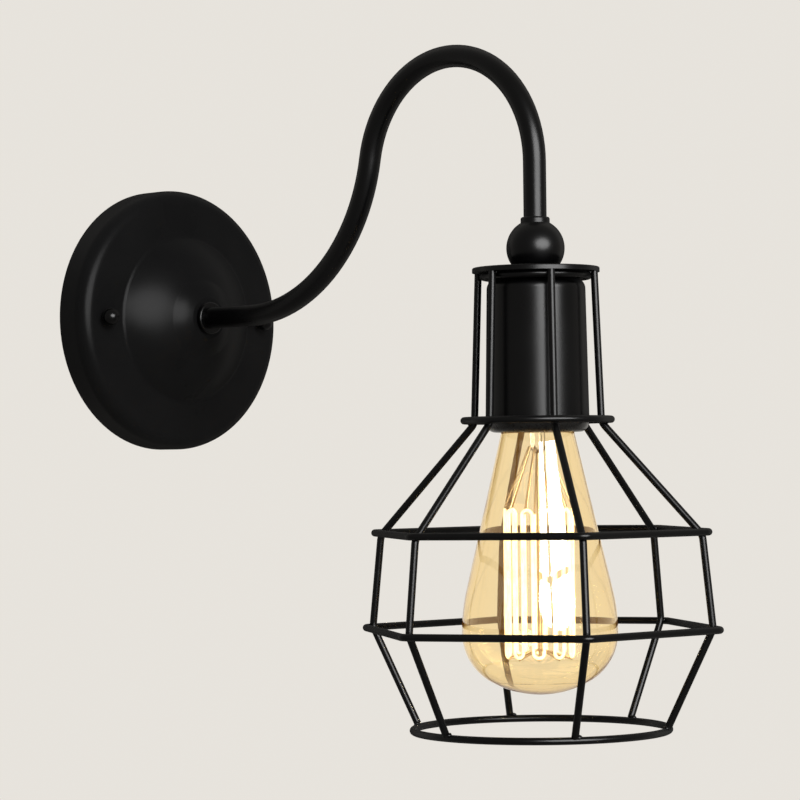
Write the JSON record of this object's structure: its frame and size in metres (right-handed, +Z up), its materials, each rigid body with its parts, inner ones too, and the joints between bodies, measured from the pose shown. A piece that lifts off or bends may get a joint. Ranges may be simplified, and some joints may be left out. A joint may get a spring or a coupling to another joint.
{
  "type": "cage wall light",
  "caption": "Gooseneck wall light with a round canopy, curved arm, ball coupling and an open wire cage around an amber filament bulb.",
  "frame": {"origin": "centre of the canopy's rear rim, on the wall plane and midway between the bracket's two screw slots", "axes": "+Z up, +X to the right of somebody facing the wall, -Y out from the wall towards the lamp"},
  "size_m": [0.1526, 0.305, 0.2875],
  "materials": {
    "black_powder_coat": "satin black powder coat",
    "zinc_plated_steel": "zinc-plated steel",
    "white_plastic": "white moulded plastic",
    "terminal_brass": "plain brass",
    "brown_sleeve": "brown wire sleeve",
    "blue_sleeve": "blue wire sleeve",
    "black_plastic": "black moulded heat-proof plastic",
    "white_ceramic": "white glazed porcelain",
    "bulb_brass": "rolled brass screw cap",
    "black_glass": "opaque black insulating glass",
    "solder": "soldered contact button",
    "amber_glass": "clear amber-tinted glass",
    "clear_glass": "clear glass",
    "filament": "thin filament that glows warm yellow when lit",
    "wire_steel": "drawn wire"
  },
  "bodies": {
    "fixture": {"canopy": "black_powder_coat", "wall_bracket": "zinc_plated_steel", "bracket_studs": "zinc_plated_steel", "stud_lock_nuts": "zinc_plated_steel", "ball_nut_left": "black_powder_coat", "ball_nut_right": "black_powder_coat", "terminal_block": "white_plastic", "terminal_clamps": "terminal_brass", "terminal_screws": "zinc_plated_steel", "block_screw": "zinc_plated_steel", "earth_screw": "zinc_plated_steel", "earth_washer": "zinc_plated_steel", "arm_collar": "black_powder_coat", "arm_washer": "zinc_plated_steel", "arm_lock_nut": "zinc_plated_steel", "arm_tube": "black_powder_coat", "live_lead": "brown_sleeve", "neutral_lead": "blue_sleeve", "ball_coupling": "black_powder_coat", "head_nipple": "zinc_plated_steel", "cage_top_disc": "black_powder_coat", "cage_lock_nut": "black_powder_coat", "cage_wire_1": "black_powder_coat", "cage_wire_2": "black_powder_coat", "cage_wire_3": "black_powder_coat", "cage_wire_4": "black_powder_coat", "cage_wire_5": "black_powder_coat", "cage_wire_6": "black_powder_coat", "cage_top_ring": "black_powder_coat", "cage_neck_ring": "black_powder_coat", "cage_upper_ring": "black_powder_coat", "cage_lower_ring": "black_powder_coat", "cage_bottom_ring": "black_powder_coat", "socket_cup": "black_powder_coat", "cup_washer": "zinc_plated_steel", "lampholder_cap": "black_plastic", "lampholder_insert": "white_ceramic", "lampholder_skirt": "black_plastic", "screw_shell": "terminal_brass", "centre_contact": "terminal_brass", "holder_terminals": "terminal_brass", "holder_screws": "terminal_brass"},
    "bulb": {"bulb_glass": "amber_glass", "bulb_cap": "bulb_brass", "bulb_insulator": "black_glass", "bulb_contact": "solder", "bulb_stem": "clear_glass", "filament": "filament", "filament_supports": "wire_steel", "bulb_lead_wires": "wire_steel"}
  },
  "joints": [
    {"name": "bulb_unscrew", "type": "slide", "parent": "fixture", "child": "bulb", "axis": [0, 0, -1], "range_m": [0, 0.022]}
  ]
}
